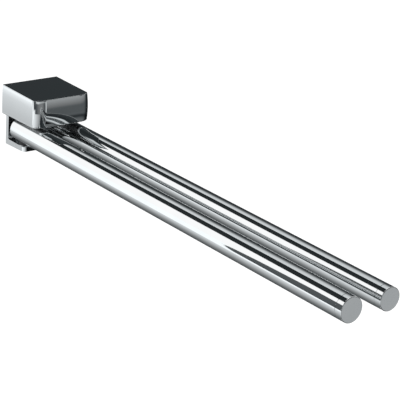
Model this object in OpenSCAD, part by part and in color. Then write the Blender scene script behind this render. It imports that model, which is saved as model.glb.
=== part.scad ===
// Double swing arm towel bar for a bathroom wall.
// Two parallel round arms turn sideways about upright pins between a housing above and a lip below.
// The wall is the plane y = 0, the arms reach out along -Y, and +Z is up.
// The origin lies on the wall, midway between the two wall screw holes.

/* [Housing] */
// Width of the housing along the wall, at its fullest height
cover_w = 56; // [54:1:66]
// Depth of the housing from the wall to its front, at its fullest height
cover_d = 55.75; // [51:0.25:66]
// Height of the housing at the wall
cover_h = 26.5; // [25.5:1:36.5]
// How much the top falls and the lower edge rises on the way from the wall to the front
draft = 0.9; // [0.5:0.1:1.1]
// Wall thickness of the housing
cover_wall = 2.5; // [2.25:0.25:3]
// Size of the oval upright front corners, measured along the front
corner_w = 11; // [8:0.5:13]
// Size of the oval upright front corners, measured along the sides
corner_d = 5; // [4:0.25:6.5]
// How far the front falls back from its fullest height to the top edge
front_crown = 1.5; // [0.5:0.05:1.7]
// How far each side falls back from its fullest height to the top edge
side_crown = 0.2; // [0:0.05:0.5]
// Radius of the rounded lower edge
rim_r = 1; // [0.4:0.1:1.2]

/* [Arms] */
// Distance from the wall to the free ends of the arms
arm_reach = 450; // [250:10:600]
// Distance from each side of the housing in to the centre line of an arm
arm_inset = 10; // [9.5:0.25:11.5]
// Outer diameter of the left arm
left_tube_d = 20; // [18:0.5:20]
// Outer diameter of the right arm
right_tube_d = 18.5; // [17:0.5:20]
// Wall thickness of the arm tubes
tube_wall = 1.25; // [1:0.25:1.5]
// Distance from the pivot axis to the wall end of an arm
arm_tail = 9.5; // [8.5:0.5:11]
// Length of the end cap that shows beyond the tube
cap_len = 6.5; // [4:0.5:12]
// Length of the end cap's spigot inside the tube
spigot_len = 10; // [6:1:16]
// Length of the solid hub from the pivot axis into the tube
hub_len = 20; // [10:1:40]

/* [Pivot] */
// Distance from the wall to the pivot axes
pivot_y = 24; // [23:0.25:25]
// Diameter of the pivot pin's shoulder
pin_d = 6; // [5.5:0.25:6.5]
// Diameter of the pin's threaded end
thread_d = 5; // [4:0.25:5]
// Outer diameter of a bush inside the hub
bush_d = 9; // [8:0.25:10]
// Outer diameter of a bush's collar
collar_d = 11; // [10.5:0.25:12.5]
// Depth of a collar's seat below the crown of the tube
seat_depth = 3; // [2.5:0.25:4]
// Height of the conical spring washer
spring_h = 0.7; // [0.5:0.1:0.9]
// Thickness of the spring washer's metal
spring_t = 0.35; // [0.25:0.05:0.45]
// Thickness of the flat washer on the lip
thrust_t = 0.5; // [0.3:0.1:0.9]
// Free height between the thicker arm and the carrier above it, and the lip below it
arm_gap = 2.15; // [1.75:0.1:2.55]

/* [Bracket] */
// How far each edge of the bracket is set in from the side of the housing
bracket_inset = 4.5; // [4:0.25:5]
// Thickness of the bracket's wall plate
plate_t = 4.25; // [3.75:0.25:5]
// Thickness of the bracket's lip at its front edge
lip_t = 4.25; // [4:0.25:6]
// How much thicker the lip is at the wall
lip_taper = 1; // [0:0.25:1.5]
// Reach of the lip from the wall
lip_reach = 30.5; // [30:0.5:36]
// Radius of the lip's two front corners in plan
lip_corner_r = 3; // [1:0.5:6]
// Height of the inner carrier block
carrier_h = 11.5; // [9:0.5:12]
// Distance from the top of the housing down to the wall screw holes
hole_drop = 9; // [8.75:0.25:9.5]
// Distance between the wall screw holes
hole_spacing = 28; // [20:1:32]
// Diameter of the wall screw holes
hole_d = 5.5; // [4.5:0.25:5.5]

/* [Hidden] */
$fn = 96;

// Which side an arm is on
left = -1;
right = 1;

// How far a cut runs past the solid that it opens
overrun = 1;
// Gap around a piece that slides into another
fit_gap = 0.3;
// Radial gap of a shaft that turns in its bush
run_gap = 0.05;
// Radial gap of a piece that is pressed or glued in
press_gap = 0.02;
// Radial gap of a screw or pin in a plain hole
hole_gap = 0.1;

// Housing: gap to the wall, bevel of the top edge
cover_back_gap = 0.3;
top_bevel = 0.4;

// Housing: front of its cavity, and the radius of the cavity's front corners
cavity_front = cover_d - front_crown / 2 - cover_wall;
cavity_r = 6;

// Housing: the height share at which it is fullest
full_share = 0.45;

// Segments of the housing's skin
corner_steps = 16;
crown_steps = 12;
rim_steps = 5;

// Widths that follow the housing
arm_spacing = cover_w - 2 * arm_inset;
plate_w = cover_w - 2 * bracket_inset;

// Levels, counted from the wall screw holes
cover_top_z = hole_drop;
cover_bottom_z = cover_top_z - cover_h;
ceiling_z = cover_top_z - draft - cover_wall;
carrier_bottom_z = cover_bottom_z + draft;
carrier_top_z = carrier_bottom_z + carrier_h;
thick_arm_r = max(left_tube_d, right_tube_d) / 2;
slot_half = thick_arm_r + arm_gap;
arm_z = carrier_bottom_z - slot_half;
lip_top_z = arm_z - slot_half;
lip_front_z = lip_top_z - lip_t;
lip_bottom_z = lip_front_z - lip_taper;
plate_top_z = ceiling_z - fit_gap;

// Fillet inside the bracket's bend, and the rounding of its outer edges
bend_r = 1.5;
outer_r = 1;

// Countersink of the wall screws and carrier screws
csk_d = 9.4;
csk_depth = (csk_d - hole_d) / 2;

// Carrier screws: shank, head and how deep they bite
carrier_screw_d = 5;
carrier_screw_head_d = 9;
carrier_screw_head_h = (carrier_screw_head_d - carrier_screw_d) / 2;
carrier_screw_spacing = 18;
carrier_screw_bite = 10;
carrier_screw_socket = 3;
carrier_screw_z = (carrier_bottom_z + carrier_top_z) / 2;

// Carrier block: its outline, floor and front pocket
carrier_w = cover_w - 2 * (cover_wall + fit_gap);
carrier_front = cavity_front - fit_gap;
carrier_corner_r = cavity_r - fit_gap;
carrier_floor = 3.5;
carrier_side = 3;

// Locknuts and their pockets
nut_af = 8;
nut_h = 4.2;
nut_pocket = nut_h + hole_gap;

// Pivot pins: head, its socket and the lead at the tip
pin_head_d = 10;
pin_head_h = 2.4;
pin_socket = 4;
pin_socket_depth = 1.6;
pin_recess = pin_head_h + hole_gap;
pin_tip = 0.5;

// Cover screw and the boss that it pulls on
cover_screw_d = 4;
cover_screw_head_d = 7;
cover_screw_head_h = 2.2;
cover_screw_socket = 2.5;
cover_screw_socket_depth = 1.4;
cover_screw_bite = 9;
boss_d = 8.4;
pocket_back = pivot_y + corner_of(nut_af) + carrier_side;
pocket_front = carrier_front - carrier_side;
boss_y = (pocket_back + pocket_front) / 2;

// End caps: rounding of the face, bevel at the seam and wall of the spigot
cap_edge_r = 0.5;
seam_bevel = 0.15;
spigot_wall = 1.6;

// Hub: set back from the tube's end, and the gap between the two bushes in its bore
hub_recess = 0.5;
bush_gap = 1;
bush_bevel = 0.3;

// Distance from the centre to a corner of a hexagon of a given width across its flats
function corner_of(flats) = flats / sqrt(3);

// Share of a crown by which the skin lies behind its fullest point, at height h above the lower edge
function crown_share(h) =
    let (full_h = cover_h * full_share)
    pow((h - full_h) / (cover_h - full_h), 2);

// How far the skin is drawn in by the rounded lower edge and by the fine bevel of the top edge
function edge_inset(h) =
    h < rim_r ? rim_r - sqrt(rim_r * rim_r - (rim_r - h) * (rim_r - h))
    : h > cover_h - top_bevel ? h - (cover_h - top_bevel)
    : 0;

// Heights of the skin's rings, from the lower edge to the top edge
function ring_heights() = [
    for (i = [0 : rim_steps - 1]) rim_r * (1 - cos(90 * i / rim_steps)),
    for (i = [0 : crown_steps]) rim_r + (cover_h - top_bevel - rim_r) * i / crown_steps,
    cover_h
];

// Level of a point of the skin at height h and distance y in front of the wall, with the draft
function skin_z(h, y) = cover_bottom_z + h + draft * (y / cover_d) * (1 - 2 * h / cover_h);

// One ring of the skin: from the back left corner round the front to the back right corner
function skin_ring(h) =
    let (
        inset = edge_inset(h),
        half_w = cover_w / 2 - side_crown * crown_share(h) - inset,
        front = cover_d - front_crown * crown_share(h) - inset,
        rx = corner_w - inset,
        ry = corner_d - inset,
        x = half_w - rx,
        y = front - ry
    )
    [
        [-half_w, -cover_back_gap, skin_z(h, cover_back_gap)],
        for (i = [0 : corner_steps])
            let (a = 90 * i / corner_steps, ahead = y + ry * sin(a))
            [-x - rx * cos(a), -ahead, skin_z(h, ahead)],
        for (i = [0 : corner_steps])
            let (a = 90 * i / corner_steps, ahead = y + ry * cos(a))
            [x + rx * sin(a), -ahead, skin_z(h, ahead)],
        [half_w, -cover_back_gap, skin_z(h, cover_back_gap)]
    ];

// A closed solid through a stack of rings that all have the same number of points
module stacked_rings(rings) {
    count = len(rings[0]);
    last = len(rings) - 1;
    points = [for (ring = rings) each ring];
    sides = [
        for (k = [0 : last - 1], i = [0 : count - 1])
            let (j = (i + 1) % count, low = k * count, high = low + count)
            each [[low + i, high + i, high + j], [low + i, high + j, low + j]]
    ];
    bottom = [for (i = [0 : count - 1]) i];
    top = [for (i = [count - 1 : -1 : 0]) last * count + i];
    polyhedron(points = points, faces = concat([bottom], sides, [top]), convexity = 4);
}

// Plan outline with two rounded front corners, from the line y = 0 forward to y = -depth
module plan_outline(width, depth, r) {
    translate([-width / 2, -(depth - r)]) square([width, depth - r]);
    translate([-(width / 2 - r), -depth]) square([width - 2 * r, depth]);
    for (side = [left, right])
        translate([side * (width / 2 - r), -(depth - r)]) circle(r = r);
}

// A cylinder that lies along an arm, between two distances from the pivot
module along_arm(from, to, d) {
    translate([0, -from, 0]) rotate([90, 0, 0]) cylinder(h = to - from, d = d);
}

// Moves an arm's own pieces, drawn about the pivot, to their place on one side
module at_arm(side) {
    translate([side * arm_spacing / 2, -pivot_y, arm_z]) children();
}

// A hexagonal prism that stands on the plane z = 0
module hexagon(flats, h) {
    cylinder(h = h, r = corner_of(flats), $fn = 6);
}

module cover() {
    color("gainsboro") difference() {
        stacked_rings([for (h = ring_heights()) skin_ring(h)]);
        difference() {
            translate([0, overrun, cover_bottom_z - overrun])
                linear_extrude(ceiling_z - cover_bottom_z + overrun)
                    plan_outline(cover_w - 2 * cover_wall, cavity_front + overrun, cavity_r);
            cover_boss();
        }
        translate([0, -boss_y, carrier_bottom_z])
            cylinder(h = carrier_floor + cover_screw_bite + fit_gap, d = cover_screw_d + 2 * press_gap);
    }
}

// The boss that hangs from the housing's ceiling onto the floor of the carrier's pocket
module cover_boss() {
    translate([0, -boss_y, carrier_bottom_z + carrier_floor])
        cylinder(h = ceiling_z - carrier_bottom_z, d = boss_d);
}

// Side view of the bracket, with y to the right and z upward
module bracket_profile() {
    translate([-plate_t, lip_bottom_z + outer_r]) square([plate_t, plate_top_z - lip_bottom_z - outer_r]);
    polygon([
        [-lip_reach, lip_front_z], [-outer_r, lip_bottom_z],
        [-outer_r, lip_top_z], [-lip_reach, lip_top_z]
    ]);
    translate([-outer_r, lip_bottom_z + outer_r]) circle(r = outer_r);
    difference() {
        translate([-plate_t - bend_r, lip_top_z]) square(bend_r);
        translate([-plate_t - bend_r, lip_top_z + bend_r]) circle(r = bend_r);
    }
}

module wall_bracket() {
    color("silver") difference() {
        intersection() {
            translate([plate_w / 2, 0, 0]) rotate([90, 0, -90]) mirror([1, 0, 0])
                linear_extrude(plate_w) bracket_profile();
            translate([0, 0, lip_bottom_z])
                linear_extrude(plate_top_z - lip_bottom_z)
                    plan_outline(plate_w, lip_reach, lip_corner_r);
        }
        for (side = [left, right]) {
            translate([side * hole_spacing / 2, overrun, 0]) rotate([90, 0, 0])
                cylinder(h = plate_t + 2 * overrun, d = hole_d);
            translate([side * hole_spacing / 2, -(plate_t - csk_depth), 0]) rotate([90, 0, 0])
                cylinder(h = csk_depth + overrun, d1 = hole_d, d2 = csk_d + 2 * overrun);
            translate([side * carrier_screw_spacing / 2, overrun, carrier_screw_z]) rotate([90, 0, 0])
                cylinder(h = plate_t + 2 * overrun, d = carrier_screw_d + 2 * hole_gap);
            translate([side * carrier_screw_spacing / 2, overrun, carrier_screw_z]) rotate([90, 0, 0])
                cylinder(h = carrier_screw_head_h + overrun,
                    d1 = carrier_screw_head_d + 2 * (hole_gap + overrun),
                    d2 = carrier_screw_d + 2 * hole_gap);
            translate([side * arm_spacing / 2, -pivot_y, lip_bottom_z - overrun])
                cylinder(h = lip_taper + lip_t + 2 * overrun, d = pin_d + 2 * hole_gap);
            translate([side * arm_spacing / 2, -pivot_y, lip_bottom_z - overrun])
                cylinder(h = lip_taper + pin_recess + overrun, d = pin_head_d + 2 * hole_gap);
        }
    }
}

module carrier() {
    color("lightgray") difference() {
        translate([0, -plate_t, carrier_bottom_z])
            linear_extrude(carrier_h)
                plan_outline(carrier_w, carrier_front - plate_t, carrier_corner_r);
        translate([0, -pocket_back, carrier_bottom_z + carrier_floor])
            linear_extrude(carrier_h)
                plan_outline(carrier_w - 2 * carrier_side, pocket_front - pocket_back,
                    carrier_corner_r - carrier_side);
        for (side = [left, right]) {
            translate([side * arm_spacing / 2, -pivot_y, carrier_bottom_z - overrun])
                cylinder(h = carrier_h + 2 * overrun, d = thread_d + 2 * hole_gap);
            translate([side * arm_spacing / 2, -pivot_y, carrier_top_z - nut_pocket])
                hexagon(nut_af + 2 * hole_gap, nut_pocket + overrun);
            translate([side * carrier_screw_spacing / 2, -plate_t + overrun, carrier_screw_z])
                rotate([90, 0, 0])
                    cylinder(h = carrier_screw_bite + fit_gap + overrun, d = carrier_screw_d + 2 * press_gap);
        }
        translate([0, -boss_y, carrier_bottom_z - overrun])
            cylinder(h = carrier_floor + 2 * overrun, d = cover_screw_d + 2 * hole_gap);
        translate([0, -boss_y, carrier_bottom_z - overrun])
            cylinder(h = cover_screw_head_h + hole_gap + overrun, d = cover_screw_head_d + 2 * hole_gap);
    }
}

// Two countersunk screws that hold the carrier to the bracket from behind
module carrier_screws() {
    color("dimgray")
        for (side = [left, right])
            translate([side * carrier_screw_spacing / 2, 0, carrier_screw_z]) rotate([90, 0, 0])
                difference() {
                    union() {
                        cylinder(h = carrier_screw_head_h, d1 = carrier_screw_head_d, d2 = carrier_screw_d);
                        cylinder(h = plate_t + carrier_screw_bite, d = carrier_screw_d);
                    }
                    translate([0, 0, -overrun])
                        hexagon(carrier_screw_socket, carrier_screw_head_h + overrun);
                }
}

// The screw that pulls the housing down onto the carrier, set in from below between the arms
module cover_screw() {
    color("dimgray") translate([0, -boss_y, carrier_bottom_z]) difference() {
        union() {
            cylinder(h = cover_screw_head_h, d = cover_screw_head_d);
            cylinder(h = carrier_floor + cover_screw_bite, d = cover_screw_d);
        }
        translate([0, 0, -overrun]) hexagon(cover_screw_socket, cover_screw_socket_depth + overrun);
    }
}

// Two locknuts, sunk flush into the top of the carrier
module pivot_locknuts() {
    color("dimgray")
        for (side = [left, right])
            translate([side * arm_spacing / 2, -pivot_y, carrier_top_z - nut_h]) difference() {
                hexagon(nut_af, nut_h);
                translate([0, 0, -overrun])
                    cylinder(h = nut_h + 2 * overrun, d = thread_d + 2 * press_gap);
            }
}

// A shoulder screw from below: head in the lip, shoulder through the arm, thread through the carrier
module pivot_pin(side) {
    foot = lip_front_z + hole_gap;
    seat = foot + pin_head_h;
    head = pin_head_d / 2;
    shoulder = pin_d / 2;
    thread = thread_d / 2;
    color("darkgray") translate([side * arm_spacing / 2, -pivot_y, 0]) difference() {
        rotate_extrude()
            polygon([
                [0, foot], [head, foot], [head, seat], [shoulder, seat],
                [shoulder, carrier_bottom_z], [thread, carrier_bottom_z],
                [thread, carrier_top_z - pin_tip], [thread - pin_tip, carrier_top_z], [0, carrier_top_z]
            ]);
        translate([0, 0, foot - overrun]) hexagon(pin_socket, pin_socket_depth + overrun);
    }
}

module left_pivot_pin() {
    pivot_pin(left);
}

module right_pivot_pin() {
    pivot_pin(right);
}

// The conical washer between a bush's collar and the carrier, which gives the arm its friction
module spring_washer(side) {
    inner = pin_d / 2 + hole_gap;
    outer = collar_d / 2;
    color("slategray") translate([side * arm_spacing / 2, -pivot_y, carrier_bottom_z - spring_h])
        rotate_extrude()
            polygon([[outer, 0], [outer, spring_t], [inner, spring_h], [inner, spring_h - spring_t]]);
}

module left_spring_washer() {
    spring_washer(left);
}

module right_spring_washer() {
    spring_washer(right);
}

// The flat washer that lies on the lip under a bush's collar
module thrust_washer(side) {
    color("slategray") translate([side * arm_spacing / 2, -pivot_y, lip_top_z]) difference() {
        cylinder(h = thrust_t, d = collar_d);
        translate([0, 0, -overrun]) cylinder(h = thrust_t + 2 * overrun, d = pin_d + 2 * hole_gap);
    }
}

module left_thrust_washer() {
    thrust_washer(left);
}

module right_thrust_washer() {
    thrust_washer(right);
}

// Height of a collar's seat above the arm's centre line
function seat_height(d) = d / 2 - seat_depth;

// A bush that stands on its collar's seat: the barrel goes down into the hub, the collar shows above
module bush(d, washer_h) {
    seat = seat_height(d);
    face = slot_half - washer_h;
    foot = bush_gap / 2;
    inner = pin_d / 2 + run_gap;
    barrel = bush_d / 2;
    collar = collar_d / 2;
    color("whitesmoke") rotate_extrude()
        polygon([
            [inner, foot], [barrel - bush_bevel, foot], [barrel, foot + bush_bevel], [barrel, seat],
            [collar, seat], [collar, face - bush_bevel], [collar - bush_bevel, face], [inner, face]
        ]);
}

module left_upper_bush() {
    at_arm(left) bush(left_tube_d, spring_h);
}

module right_upper_bush() {
    at_arm(right) bush(right_tube_d, spring_h);
}

module left_lower_bush() {
    at_arm(left) mirror([0, 0, 1]) bush(left_tube_d, thrust_t);
}

module right_lower_bush() {
    at_arm(right) mirror([0, 0, 1]) bush(right_tube_d, thrust_t);
}

// The room for the two bushes: a bore right through, and a seat for each collar
module bush_room(d) {
    seat = seat_height(d);
    cylinder(h = d, d = bush_d + 2 * press_gap, center = true);
    for (up = [0, 1])
        mirror([0, 0, up]) translate([0, 0, seat])
            cylinder(h = seat_depth + overrun, d = collar_d + 2 * hole_gap);
}

// The black coated zinc end inside the tube that takes the bushes
module arm_hub(d) {
    color("darkslategray") difference() {
        along_arm(-(arm_tail - hub_recess), hub_len, d - 2 * (tube_wall + press_gap));
        bush_room(d);
    }
}

module left_arm_hub() {
    at_arm(left) arm_hub(left_tube_d);
}

module right_arm_hub() {
    at_arm(right) arm_hub(right_tube_d);
}

// The chromed tube, open at both ends, with the collars' holes through its crown and its underside
module arm_tube(d) {
    tube_end = arm_reach - pivot_y - cap_len;
    color("gainsboro") difference() {
        along_arm(-arm_tail, tube_end, d);
        along_arm(-arm_tail - overrun, tube_end + overrun, d - 2 * tube_wall);
        cylinder(h = d + 2 * overrun, d = collar_d + 2 * hole_gap, center = true);
    }
}

module left_arm_tube() {
    at_arm(left) arm_tube(left_tube_d);
}

module right_arm_tube() {
    at_arm(right) arm_tube(right_tube_d);
}

// Half section of an end cap, from its axis outward, with the face at the top
module cap_profile(d) {
    r = d / 2;
    spigot_r = r - tube_wall - press_gap;
    square([r - cap_edge_r, cap_len]);
    translate([0, seam_bevel]) square([r, cap_len - cap_edge_r - seam_bevel]);
    polygon([[0, 0], [r - seam_bevel, 0], [r, seam_bevel], [0, seam_bevel]]);
    translate([r - cap_edge_r, cap_len - cap_edge_r]) circle(r = cap_edge_r);
    translate([spigot_r - spigot_wall, -spigot_len]) square([spigot_wall, spigot_len]);
}

// The flush cap of an arm's free end, held by its spigot inside the tube
module end_cap(d) {
    color("gainsboro") translate([0, -(arm_reach - pivot_y - cap_len), 0]) rotate([90, 0, 0])
        rotate_extrude() cap_profile(d);
}

module left_end_cap() {
    at_arm(left) end_cap(left_tube_d);
}

module right_end_cap() {
    at_arm(right) end_cap(right_tube_d);
}

cover();
wall_bracket();
carrier();
carrier_screws();
cover_screw();
pivot_locknuts();
left_pivot_pin();
left_spring_washer();
left_thrust_washer();
left_upper_bush();
left_lower_bush();
left_arm_hub();
left_arm_tube();
left_end_cap();
right_pivot_pin();
right_spring_washer();
right_thrust_washer();
right_upper_bush();
right_lower_bush();
right_arm_hub();
right_arm_tube();
right_end_cap();
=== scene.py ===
import math

import bmesh
import bpy
from mathutils import Matrix, Vector

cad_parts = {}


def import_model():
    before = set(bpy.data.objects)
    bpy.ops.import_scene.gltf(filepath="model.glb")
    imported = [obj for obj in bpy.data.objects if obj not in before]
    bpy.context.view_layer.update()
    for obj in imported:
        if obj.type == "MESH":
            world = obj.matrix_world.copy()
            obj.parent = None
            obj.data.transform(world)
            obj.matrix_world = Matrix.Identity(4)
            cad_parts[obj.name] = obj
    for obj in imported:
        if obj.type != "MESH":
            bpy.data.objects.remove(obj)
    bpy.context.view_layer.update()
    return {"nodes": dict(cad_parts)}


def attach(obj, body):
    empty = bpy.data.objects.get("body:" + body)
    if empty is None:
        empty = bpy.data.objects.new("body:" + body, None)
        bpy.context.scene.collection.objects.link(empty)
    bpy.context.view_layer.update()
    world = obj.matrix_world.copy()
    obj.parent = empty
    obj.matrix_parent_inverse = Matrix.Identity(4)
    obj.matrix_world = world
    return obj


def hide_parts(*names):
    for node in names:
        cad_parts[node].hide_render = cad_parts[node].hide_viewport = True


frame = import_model()
MM = 0.001
scene = bpy.context.scene


# Small helpers

def bare_tree(owner):
    """Gives a material or world an empty node tree; returns its nodes and links."""
    owner.use_nodes = True
    owner.node_tree.nodes.clear()
    return owner.node_tree.nodes, owner.node_tree.links


def add_object(name, data):
    obj = bpy.data.objects.new(name, data)
    scene.collection.objects.link(obj)
    return obj


def mesh_object(name, bm):
    me = bpy.data.meshes.new(name)
    bm.to_mesh(me)
    bm.free()
    return add_object(name, me)


def corner(bm, x, y, z):
    """A mesh corner from millimetres."""
    return bm.verts.new((x * MM, y * MM, z * MM))


def skirt(bm, lower, upper, closed=False):
    """Faces between two rings of equally many corners."""
    count = len(lower)
    for i in range(count if closed else count - 1):
        j = (i + 1) % count
        bm.faces.new((lower[i], lower[j], upper[j], upper[i]))


# Materials: depths of relief are in metres, scales are per metre

def new_material(name):
    """An empty node material with a Principled shader; returns (material, nodes, links, shader)."""
    mat = bpy.data.materials.new(name)
    nodes, links = bare_tree(mat)
    out = nodes.new("ShaderNodeOutputMaterial")
    shader = nodes.new("ShaderNodeBsdfPrincipled")
    links.new(shader.outputs["BSDF"], out.inputs["Surface"])
    return mat, nodes, links, shader


def noise(nodes, links, coords, scale, detail=3.0, rough=0.5):
    n = nodes.new("ShaderNodeTexNoise")
    n.inputs["Scale"].default_value = scale
    n.inputs["Detail"].default_value = detail
    n.inputs["Roughness"].default_value = rough
    links.new(coords, n.inputs["Vector"])
    return n.outputs["Fac"]


def tint(nodes, links, fac, dark, light):
    """A colour that drifts from dark to light with the noise."""
    r = nodes.new("ShaderNodeValToRGB")
    for element, position, colour in zip(r.color_ramp.elements, (0.35, 0.65), (dark, light)):
        element.position = position
        element.color = (*colour, 1.0)
    links.new(fac, r.inputs["Fac"])
    return r.outputs["Color"]


def spread(nodes, links, fac, low, high):
    """A number that drifts from low to high with the noise."""
    m = nodes.new("ShaderNodeMapRange")
    m.inputs["From Min"].default_value = 0.3
    m.inputs["From Max"].default_value = 0.7
    m.inputs["To Min"].default_value = low
    m.inputs["To Max"].default_value = high
    links.new(fac, m.inputs["Value"])
    return m.outputs["Result"]


def bump(nodes, links, shader, height, depth):
    b = nodes.new("ShaderNodeBump")
    b.inputs["Distance"].default_value = depth
    b.inputs["Strength"].default_value = 1.0
    links.new(height, b.inputs["Height"])
    links.new(b.outputs["Normal"], shader.inputs["Normal"])


def metal(name, dark, light, rough, grain_scale, grain_depth):
    """A bare or plated metal: a faint drift of colour, a range of roughness and a fine grain."""
    mat, nodes, links, shader = new_material(name)
    shader.inputs["Metallic"].default_value = 1.0
    coords = nodes.new("ShaderNodeTexCoord").outputs["Object"]
    drift = noise(nodes, links, coords, scale=35.0)
    links.new(tint(nodes, links, drift, dark, light), shader.inputs["Base Color"])
    haze = noise(nodes, links, coords, scale=260.0, detail=5.0, rough=0.6)
    links.new(spread(nodes, links, haze, *rough), shader.inputs["Roughness"])
    grain = noise(nodes, links, coords, scale=grain_scale, detail=4.0, rough=0.6)
    bump(nodes, links, shader, grain, grain_depth)
    return mat


def black(name, dark, light, rough, grain_depth):
    """A black non-metal: coated zinc or acetal."""
    mat, nodes, links, shader = new_material(name)
    coords = nodes.new("ShaderNodeTexCoord").outputs["Object"]
    drift = noise(nodes, links, coords, scale=150.0)
    links.new(tint(nodes, links, drift, dark, light), shader.inputs["Base Color"])
    haze = noise(nodes, links, coords, scale=900.0)
    links.new(spread(nodes, links, haze, *rough), shader.inputs["Roughness"])
    bump(nodes, links, shader, noise(nodes, links, coords, scale=2200.0), grain_depth)
    return mat


# darker and lighter colour, range of roughness, scale and depth of the grain
METALS = {
    "polished_chrome": ((0.93, 0.945, 0.95), (0.955, 0.965, 0.97), (0.015, 0.035), 90.0, 1.5e-6),
    "cap_chrome": ((0.92, 0.935, 0.94), (0.95, 0.96, 0.965), (0.03, 0.06), 700.0, 1.5e-6),
    "bracket_chrome": ((0.9, 0.915, 0.92), (0.94, 0.95, 0.955), (0.04, 0.09), 300.0, 2e-6),
    # cast zinc's grey is set darker than the bare metal, partly painted shade for its place under the
    # housing
    "cast_zinc": ((0.3, 0.305, 0.31), (0.4, 0.405, 0.41), (0.38, 0.55), 900.0, 3e-5),
    "screw_steel": ((0.33, 0.34, 0.36), (0.46, 0.47, 0.49), (0.22, 0.36), 1200.0, 1e-5),
    "pin_steel": ((0.56, 0.57, 0.58), (0.68, 0.69, 0.7), (0.12, 0.2), 1500.0, 4e-6),
    "washer_steel": ((0.5, 0.51, 0.52), (0.63, 0.64, 0.65), (0.18, 0.3), 1500.0, 5e-6),
}
# darker and lighter colour, range of roughness, depth of the grain
BLACKS = {
    "bush_plastic": ((0.012, 0.012, 0.013), (0.022, 0.022, 0.024), (0.38, 0.5), 6e-6),
    "hub_black": ((0.01, 0.01, 0.011), (0.018, 0.018, 0.02), (0.32, 0.45), 1.2e-5),
}
BY_SLOT = {name: metal(name, *look) for name, look in METALS.items()}
BY_SLOT.update((name, black(name, *look)) for name, look in BLACKS.items())
CHROME = BY_SLOT["polished_chrome"]

for node in frame["nodes"].values():
    for material_slot in node.material_slots:
        slot_name = material_slot.material.name.split(".")[0]
        material_slot.material = BY_SLOT.get(slot_name, CHROME)


# Housing cover, in millimetres as in the CAD model

COVER_W, COVER_D, COVER_H = 56.0, 55.75, 26.5
COVER_TOP = 9.0
COVER_BOTTOM = COVER_TOP - COVER_H
DRAFT, FRONT_CROWN, SIDE_CROWN = 0.9, 1.5, 0.2
FULL_SHARE = 0.45  # share of the height at which the crowned skin is fullest
CORNER_W, CORNER_D = 11.0, 5.0
RIM_R, TOP_BEVEL, BACK_GAP = 1.0, 0.15, 0.3
WALL = 2.5
CAVITY_FRONT = COVER_D - FRONT_CROWN / 2 - WALL
CAVITY_R = 6.0
CEILING = COVER_TOP - DRAFT - WALL
BOSS_R, BOSS_BORE, BOSS_Y, BOSS_FOOT, BOSS_ROOT = 4.2, 2.02, 40.4, -13.1, 0.5
STRAIGHT = 0.3  # narrow strip before a corner that keeps the flat side's normals straight
SKIN_CORNER_STEPS, CAVITY_CORNER_STEPS, BOSS_SIDES = 28, 16, 32
RIM_STEPS, SKIN_STEPS, BEVEL_STEPS = 8, 24, 5
SHARP_FROM = math.radians(34)


def crown_share(h):
    """Share of a crown by which the skin lies behind its fullest point at a height above the lower edge."""
    full = COVER_H * FULL_SHARE
    return ((h - full) / (COVER_H - full)) ** 2


def skin_z(h, ahead):
    """Level of the skin: the top falls and the lower edge rises on the way to the front."""
    return COVER_BOTTOM + h + DRAFT * ahead / COVER_D * (1 - 2 * h / COVER_H)


def half_outline(half_w, front, rx, ry, steps):
    """Right half of a plan outline with an oval front corner, from the middle of the front to the back."""
    pts = [(0.0, front), (half_w - rx - STRAIGHT, front)]
    for i in range(steps + 1):
        a = math.pi / 2 * i / steps
        pts.append((half_w - rx + rx * math.sin(a), front - ry + ry * math.cos(a)))
    return pts + [(half_w, front - ry - STRAIGHT), (half_w, BACK_GAP)]


def full_outline(half_w, front, rx, ry, steps):
    """The whole outline, from the back left corner round the front to the back right corner."""
    half = half_outline(half_w, front, rx, ry, steps)
    return [(-x, y) for x, y in reversed(half)] + half[1:]


def skin_heights():
    """(height, inset) of each ring of the skin: round lower rim, crowned wall, bevelled top edge."""
    heights = []
    for i in range(RIM_STEPS):
        a = math.pi / 2 * i / RIM_STEPS
        heights.append((RIM_R * (1 - math.cos(a)), RIM_R * (1 - math.sin(a))))
    for i in range(SKIN_STEPS + 1):
        heights.append((RIM_R + (COVER_H - TOP_BEVEL - RIM_R) * i / SKIN_STEPS, 0.0))
    for i in range(1, BEVEL_STEPS + 1):
        a = math.pi / 2 * i / BEVEL_STEPS
        heights.append((COVER_H - TOP_BEVEL * (1 - math.sin(a)), TOP_BEVEL * (1 - math.cos(a))))
    return heights


def ring_of(bm, outline, level):
    """The corners of a plan outline, each at the level that its distance from the wall gives."""
    return [corner(bm, x, -y, level(y)) for x, y in outline]


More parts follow.
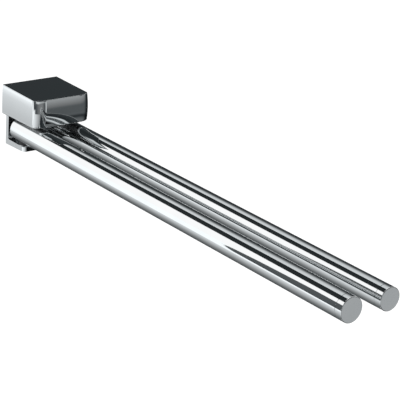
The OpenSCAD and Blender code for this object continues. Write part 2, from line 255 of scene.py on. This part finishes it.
def housing():
    bm = bmesh.new()
    rings = []
    for h, inset in skin_heights():
        half_w = COVER_W / 2 - SIDE_CROWN * crown_share(h) - inset
        front = COVER_D - FRONT_CROWN * crown_share(h) - inset
        outline = full_outline(half_w, front, CORNER_W - inset, CORNER_D - inset, SKIN_CORNER_STEPS)
        rings.append(ring_of(bm, outline, lambda y: skin_z(h, y)))
    inner = full_outline(COVER_W / 2 - WALL, CAVITY_FRONT, CAVITY_R, CAVITY_R, CAVITY_CORNER_STEPS)
    mouth = ring_of(bm, inner, lambda y: skin_z(0, y))
    ceiling = ring_of(bm, inner, lambda y: CEILING)
    for lower, upper in zip(rings, rings[1:]):
        skirt(bm, lower, upper)
    skirt(bm, ceiling, mouth)
    bm.faces.new(rings[-1])
    bm.faces.new(list(reversed(ceiling)))
    # the lower rim, and the back face that runs round the mouth
    bm.faces.new(list(reversed(rings[0])) + mouth)
    left_edge = [r[0] for r in rings]
    right_edge = [r[-1] for r in rings]
    bm.faces.new([mouth[0], ceiling[0], ceiling[-1], mouth[-1]] + right_edge + left_edge[::-1])
    # the boss for the cover screw, rooted in the roof
    root = CEILING + BOSS_ROOT
    turn = [math.tau * i / BOSS_SIDES for i in range(BOSS_SIDES)]
    boss = []
    for r, z in ((BOSS_R, root), (BOSS_R, BOSS_FOOT), (BOSS_BORE, BOSS_FOOT), (BOSS_BORE, root)):
        boss.append([corner(bm, r * math.cos(a), r * math.sin(a) - BOSS_Y, z) for a in turn])
    for lower, upper in zip(boss, boss[1:] + boss[:1]):
        skirt(bm, lower, upper, closed=True)
    big = [f for f in bm.faces if len(f.verts) > 4]
    bmesh.ops.triangulate(bm, faces=big, quad_method="BEAUTY", ngon_method="EAR_CLIP")
    bmesh.ops.recalc_face_normals(bm, faces=bm.faces)
    # smooth all over, but the flat faces, which are the triangles, keep their own straight normals
    for face in bm.faces:
        face.smooth = True
    for edge in bm.edges:
        flats = [len(f.verts) == 3 for f in edge.link_faces]
        edge.smooth = edge.calc_face_angle() < SHARP_FROM and flats[0] == flats[1]
    obj = mesh_object("housing_shell", bm)
    obj.data.materials.append(CHROME)
    return obj


shell = housing()
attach(shell, "housing")
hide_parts("cover")


# Arm tubes, finer than the construction's facets, with a fine groove before each end cap

ARM_Z, PIVOT_Y, TUBE_BACK, TUBE_FRONT = -28.75, -24.0, -14.5, -443.5
TUBE_WALL, TUBE_BEVEL, SEAM = 1.25, 0.2, 0.12
COLLAR_HOLE_R = 5.6
TUBE_SIDES, HOLE_SIDES = 256, 128
MIDDLE_RINGS, RING_STEP = 14, 30.0


def ring_round(bm, x, y, r, count):
    turn = [math.tau * i / count for i in range(count)]
    return [corner(bm, x + r * math.cos(a), y, ARM_Z + r * math.sin(a)) for a in turn]


def tube_mesh(name, x, r):
    bm = bmesh.new()
    front, inner = TUBE_FRONT + SEAM, r - TUBE_WALL
    profile = [(TUBE_BACK - TUBE_BEVEL, r)]
    profile += [(TUBE_BACK - RING_STEP * i, r) for i in range(1, MIDDLE_RINGS + 1)]
    profile += [(front + SEAM, r), (front, r - SEAM)]
    profile += [(front, inner), (TUBE_BACK, inner), (TUBE_BACK, r - TUBE_BEVEL)]
    rings = [ring_round(bm, x, y, radius, TUBE_SIDES) for y, radius in profile]
    for one, two in zip(rings, rings[1:] + rings[:1]):
        skirt(bm, one, two, closed=True)
    bmesh.ops.recalc_face_normals(bm, faces=bm.faces)
    return mesh_object(name, bm)


def bore_collar_holes(side, body, x):
    """Cuts the upright holes of the two bush collars and keeps the result as the body's own mesh."""
    bm = bmesh.new()
    radius = COLLAR_HOLE_R * MM
    place = Matrix.Translation((x * MM, PIVOT_Y * MM, ARM_Z * MM))
    bmesh.ops.create_cone(bm, cap_ends=True, segments=HOLE_SIDES, radius1=radius, radius2=radius,
                          depth=0.06, matrix=place)
    drill = mesh_object("%s_drill" % side, bm)
    cut = body.modifiers.new("collar_hole", "BOOLEAN")
    cut.object, cut.operation, cut.solver = drill, "DIFFERENCE", "EXACT"
    bpy.context.view_layer.update()
    bored = bpy.data.meshes.new_from_object(body.evaluated_get(bpy.context.evaluated_depsgraph_get()))
    body.modifiers.clear()
    bpy.data.objects.remove(drill)
    body.data = bored


def tube(side, x, r):
    body = tube_mesh("%s_tube_skin" % side, x, r)
    bore_collar_holes(side, body, x)
    for p in body.data.polygons:
        p.use_smooth = True
    body.data.set_sharp_from_angle(angle=math.radians(30))
    body.data.materials.clear()
    body.data.materials.append(CHROME)
    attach(body, "%s_arm" % side)
    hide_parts("%s_arm_tube" % side)


tube("left", -18.0, 10.0)
tube("right", 18.0, 9.25)


# Fine rounding of the bracket's edges

soft = frame["nodes"]["wall_bracket"].modifiers.new("soft_edges", "BEVEL")
soft.width = 0.35 * MM
soft.segments = 3
soft.limit_method = "ANGLE"
soft.angle_limit = math.radians(50)
soft.harden_normals = True


# Camera: fitted to the photograph's edges

CAMERA_AT = (-0.738946, -1.186291, 0.433825)
CAMERA_AHEAD = Vector((0.58016777, 0.73302022, -0.35508692))
CAMERA_RIGHT = Vector((0.79659455, -0.60155707, 0.05971773))


def camera():
    cam = bpy.data.cameras.new("camera")
    cam.sensor_fit = "HORIZONTAL"
    cam.sensor_width = 36.0
    cam.lens = 147.64
    cam.clip_start = 0.05
    cam.clip_end = 60.0
    obj = add_object("camera", cam)
    up = CAMERA_RIGHT.cross(CAMERA_AHEAD)
    turn = Matrix((CAMERA_RIGHT, up, -CAMERA_AHEAD)).transposed().to_4x4()
    obj.matrix_world = Matrix.Translation(CAMERA_AT) @ turn
    scene.camera = obj


camera()


# Studio: a white room with cards that only the metal's reflections see. All its places are in
# metres. A card's levels run from 0, black, to 1, white, and a little beyond.

BLUISH_BELOW = 0.15  # level under which a card's grey starts to turn bluish


def glow(name):
    """Glows by the level stored at each corner of a card."""
    mat = bpy.data.materials.new(name)
    nodes, links = bare_tree(mat)
    out = nodes.new("ShaderNodeOutputMaterial")
    em = nodes.new("ShaderNodeEmission")
    att = nodes.new("ShaderNodeAttribute")
    att.attribute_name = "level"
    links.new(att.outputs["Color"], em.inputs["Color"])
    links.new(em.outputs["Emission"], out.inputs["Surface"])
    return mat


GLOW = glow("studio_glow")


def tinted(lv):
    """Colour of a card's level: near neutral when light, a little bluish when dark."""
    deep = max(0.0, 1.0 - lv / BLUISH_BELOW)
    red, blue = 0.96 - 0.14 * deep, 1.02 + 0.07 * deep
    return (lv * red, lv, lv * blue, 1.0)


def card(name, rows):
    """A studio card: rows of (point, level), joined row to row.

    The camera and the floor don't see it, so it only shapes what the metal reflects."""
    bm = bmesh.new()
    layer = bm.loops.layers.float_color.new("level")
    made = [[(bm.verts.new(point), lv) for point, lv in row] for row in rows]
    for one, two in zip(made, made[1:]):
        for i in range(len(one) - 1):
            corners = (one[i], one[i + 1], two[i + 1], two[i])
            face = bm.faces.new([vert for vert, lv in corners])
            for loop, (vert, lv) in zip(face.loops, corners):
                loop[layer] = tinted(lv)
    obj = mesh_object(name, bm)
    obj.data.materials.append(GLOW)
    obj.visible_camera = False
    obj.visible_diffuse = False
    obj.visible_shadow = False
    obj.visible_transmission = False


def strip(name, rows):
    """A card whose rows each have one level: rows of (points, level)."""
    card(name, [[(point, lv) for point in points] for points, lv in rows])


def arch(name, rows, near=0.43, far=1.27):
    """A card curved round the arms at 1 m: rows of (angle at near, angle at far, level).

    Angles are in degrees up from +X. The card runs on past both stations."""
    ys = (near - 0.25, near, far, far + 2.0)
    out = []
    for a_near, a_far, lv in rows:
        angles = [math.radians(a) for a in (a_near, a_near, a_far, a_far)]
        out.append(([(math.cos(a), y, math.sin(a)) for y, a in zip(ys, angles)], lv))
    strip(name, out)


def ground(name, path, y0, y1, z):
    """A level card over the floor: path of (x, level), from y0 to y1."""
    strip(name, [([(x, y0, z), (x, y1, z)], lv) for x, lv in path])


def fan(name, stations, stops):
    """A card round the object.

    Stations are (radius, z, share of the level), stops are (azimuth in degrees from +X, level)."""
    rows = []
    for azimuth, lv in stops:
        c, t = math.cos(math.radians(azimuth)), math.sin(math.radians(azimuth))
        rows.append([((r * c, r * t, z), lv * share) for r, z, share in stations])
    card(name, rows)


# right side and top, behind the object: dark, then growing lighter, then a black flag overhead
arch("back_arch", [
    (-60, -60, 0.05), (-10, 0, 0.045), (5, 20, 0.033), (16, 44, 0.036), (30, 52, 0.1),
    (40, 58, 0.27), (50, 65, 0.52), (60, 72, 0.6), (81, 80, 0.68)])
arch("top_flag", [(81.3, 80.3, 0.02), (122.5, 118, 0.026)])

# dark grey card on the left, in front of an open white, which makes a dark band along the arms
strip("left_card", [
    ([(-1.0, 0.32, z), (-1.0, y, z)], lv)
    for y, z, lv in ((0.69, -0.3, 0.075), (0.665, 0.1, 0.09), (0.645, 0.3, 0.09), (0.595, 0.54, 0.09))])
# the same grey farther round, past a gap that makes the white line on the housing's corner
strip("corner_card", [
    ([(-1.0, -1.5, -0.08), (-1.0, -0.17, -0.22)], 0.05),
    ([(-1.0, -1.5, 0.0), (-1.0, -0.17, 0.0)], 0.09),
    ([(-1.0, -1.5, 0.54), (-1.0, -0.17, 0.54)], 0.09)])

# graded card over the floor with painted light and shade: light far out on the left and a painted shade
# pool below the arms
ground("floor_shade_card", [
    (-4.5, 1.0), (-2.34, 0.8), (-1.47, 0.68), (-1.02, 0.56), (-0.71, 0.44), (-0.49, 0.33),
    (-0.31, 0.25), (-0.15, 0.19), (0.0, 0.13), (0.3, 0.1), (0.8, 0.09)], 0.0, 4.0, -0.88)
# the part of the floor that the housing's left side sees, lighter farther out
ground("side_card", [
    (-2.3, 1.05), (-1.67, 1.03), (-1.627, 0.86), (-1.585, 0.77), (-1.545, 0.69), (-1.5, 0.66),
    (-1.33, 0.56), (-1.2, 0.5)], 1.95, 2.9, -0.87)

# graded floor and wall on the camera's side, which the round left corner of the housing sees
fan("corner_floor", [(0.3, -0.895, 0.12), (0.9, -0.892, 0.2), (1.3, -0.89, 1.0), (3.5, -0.87, 1.0)], [
    (125, 1.05), (165, 1.0), (185, 0.85), (215, 0.73), (232, 0.61), (245, 0.5), (255, 0.4), (263, 0.31),
    (270, 0.25), (276, 0.22), (282, 0.17), (288, 0.12), (290, 0.027), (294, 0.027), (295, 0.18),
    (298.7, 0.16), (299.6, 0.1)])
fan("corner_wall", [(3.5, -0.87, 1.0), (3.9, -0.7, 1.0), (3.9, 0.3, 1.0)], [
    (125, 1.05), (185, 1.0), (201, 0.4), (203, 0.035), (215, 0.04), (232, 0.065), (245, 0.095), (255, 0.14),
    (266, 0.18), (280, 0.2), (286, 0.14), (291, 0.08), (295.1, 0.13), (297.1, 0.5), (297.6, 0.62),
    (299.2, 0.62), (299.6, 0.3)])
# a lighter band high on that wall, and a rise of the floor towards it
fan("high_band", [(3.85, 0.08, 0.35), (3.85, 0.2, 1.0), (3.85, 0.6, 1.0)], [
    (212, 0.05), (222, 0.25), (235, 0.5), (258, 0.6), (272, 0.4), (293, 0.35)])
fan("far_rise", [(3.5, -0.87, 1.0), (3.8, -0.56, 1.0)], [(200, 0.8), (215, 0.73), (219, 0.7)])

# the part that the housing's front sees: light high up, dark on the floor
fan("front_fan", [
    (0.3, -0.895, 0.2), (1.3, -0.89, 0.45), (1.6, -0.888, 0.4), (1.78, -0.887, 0.25), (1.9, -0.886, 0.11),
    (2.07, -0.885, 0.12), (2.2, -0.884, 0.24), (2.4, -0.882, 0.33), (2.7, -0.88, 0.3), (3.5, -0.87, 0.3),
    (3.9, -0.7, 0.3), (3.9, -0.6, 0.33), (3.9, -0.42, 0.52), (3.9, -0.15, 0.75), (3.9, 0.15, 1.0),
    (3.9, 0.8, 1.0)], [
    (299.6, 0.3), (316, 0.3), (322, 0.3), (332, 0.24), (340, 0.1), (350, 0.045), (360, 0.04), (400, 0.04)])

# dark above the camera with one light window, which the arms see by way of the housing's front
fan("upper_dark", [(3.95, 0.3, 1.0), (3.9, 1.0, 1.0), (3.9, 2.7, 1.0), (1.0, 3.9, 1.0)], [
    (246, 0.03), (270, 0.02), (300, 0.04), (330, 0.03), (350, 0.02)])
fan("window", [
    (3.9, 0.3, 0.15), (3.9, 0.9, 0.3), (3.9, 1.3, 0.8), (3.9, 2.0, 1.0), (3.9, 2.8, 0.9), (3.8, 3.0, 0.05),
    (1.0, 3.9, 0.05)], [
    (150, 0.1), (210, 0.35), (224, 0.6), (243, 0.65), (247, 0.06)])

# small black card that the front of the bracket's lip faces
strip("lip_card", [
    ([(0.092, -0.240, -0.136), (0.128, -0.217, -0.136)], 0.004),
    ([(0.095, -0.244, -0.119), (0.131, -0.221, -0.119)], 0.004)])
# small grey card that the two end caps face
strip("cap_card", [
    ([(0.27, -0.80, -0.275), (0.35, -0.735, -0.275)], 0.37),
    ([(0.285, -0.82, -0.19), (0.365, -0.755, -0.19)], 0.37)])


# Floor, world and lamp

WHITE = (1.0, 1.0, 1.0, 1.0)
FLOOR_Z, FLOOR_HALF = -0.9, 30.0
FLOOR_COLOUR = (0.5, 0.5, 0.5, 1.0)
FLOOR_GLOW = 0.72  # added for the camera and the metal, so the floor is white but keeps its shadow
WORLD_LIGHT = 0.75  # strength that lights the object; the camera and the metal see 1, white
KEY_AT = (-0.9, -0.7, 1.5)
KEY_BACK = Vector((-0.9, -0.5, 1.5))  # direction from the arms to the lamp


def seen_by(nodes, links, *rays):
    """1 for the named kinds of ray, 0 for the others."""
    path = nodes.new("ShaderNodeLightPath")
    total = path.outputs[rays[0]]
    for ray in rays[1:]:
        both = nodes.new("ShaderNodeMath")
        both.operation = "ADD"
        both.use_clamp = True
        links.new(total, both.inputs[0])
        links.new(path.outputs[ray], both.inputs[1])
        total = both.outputs[0]
    return total


def floor():
    me = bpy.data.meshes.new("floor")
    s, z = FLOOR_HALF, FLOOR_Z
    me.from_pydata([(-s, -s, z), (s, -s, z), (s, s, z), (-s, s, z)], [], [(0, 1, 2, 3)])
    obj = add_object("floor", me)
    mat = bpy.data.materials.new("floor_white")
    nodes, links = bare_tree(mat)
    out = nodes.new("ShaderNodeOutputMaterial")
    diffuse = nodes.new("ShaderNodeBsdfDiffuse")
    diffuse.inputs["Color"].default_value = FLOOR_COLOUR
    em = nodes.new("ShaderNodeEmission")
    em.inputs["Color"].default_value = WHITE
    level = nodes.new("ShaderNodeMath")
    level.operation = "MULTIPLY"
    level.inputs[1].default_value = FLOOR_GLOW
    links.new(seen_by(nodes, links, "Is Camera Ray", "Is Glossy Ray"), level.inputs[0])
    links.new(level.outputs[0], em.inputs["Strength"])
    both = nodes.new("ShaderNodeAddShader")
    links.new(diffuse.outputs[0], both.inputs[0])
    links.new(em.outputs[0], both.inputs[1])
    links.new(both.outputs[0], out.inputs["Surface"])
    me.materials.append(mat)


def world():
    w = bpy.data.worlds.new("studio")
    scene.world = w
    nodes, links = bare_tree(w)
    out = nodes.new("ShaderNodeOutputWorld")
    bg = nodes.new("ShaderNodeBackground")
    bg.inputs["Color"].default_value = WHITE
    level = nodes.new("ShaderNodeMapRange")
    level.inputs["To Min"].default_value = WORLD_LIGHT
    level.inputs["To Max"].default_value = 1.0
    seen = seen_by(nodes, links, "Is Camera Ray", "Is Glossy Ray", "Is Transmission Ray")
    links.new(seen, level.inputs["Value"])
    links.new(level.outputs["Result"], bg.inputs["Strength"])
    links.new(bg.outputs[0], out.inputs["Surface"])


def key_lamp():
    """A soft square lamp above and to the left of the camera; the metal doesn't mirror it."""
    lamp = bpy.data.lights.new("key", "AREA")
    lamp.shape = "SQUARE"
    lamp.size = 1.2
    lamp.energy = 12.0
    obj = add_object("key", lamp)
    turn = KEY_BACK.to_track_quat("Z", "Y").to_matrix().to_4x4()
    obj.matrix_world = Matrix.Translation(KEY_AT) @ turn
    obj.visible_glossy = False


floor()
world()
key_lamp()

bpy.context.scene.view_settings.view_transform = "Standard"
